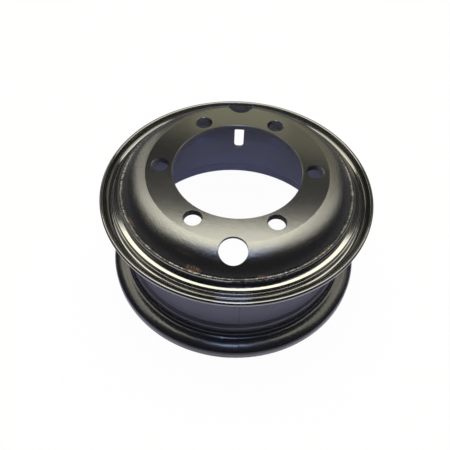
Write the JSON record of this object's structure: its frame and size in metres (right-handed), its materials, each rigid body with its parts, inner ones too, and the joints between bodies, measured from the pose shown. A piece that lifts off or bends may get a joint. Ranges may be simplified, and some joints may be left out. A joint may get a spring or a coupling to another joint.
{
  "type": "forklift wheel rim",
  "caption": "Black steel forklift wheel without a tyre: rolled rim base with a welded dished disc, side ring and lock ring, lying on its fixed flange.",
  "frame": {"origin": "centre of the wheel axis on the plane that the fixed flange rests on", "axes": "+Z along the wheel axis towards the disc's outer face, -Y towards the front hand hole, +Y towards the valve slot"},
  "size_m": [0.444, 0.444, 0.216],
  "materials": {
    "black_paint": "gloss black paint"
  },
  "bodies": {
    "root": {"rim_base": "black_paint", "wheel_disc": "black_paint", "disc_weld": "black_paint", "side_ring": "black_paint", "lock_ring": "black_paint"}
  },
  "joints": []
}
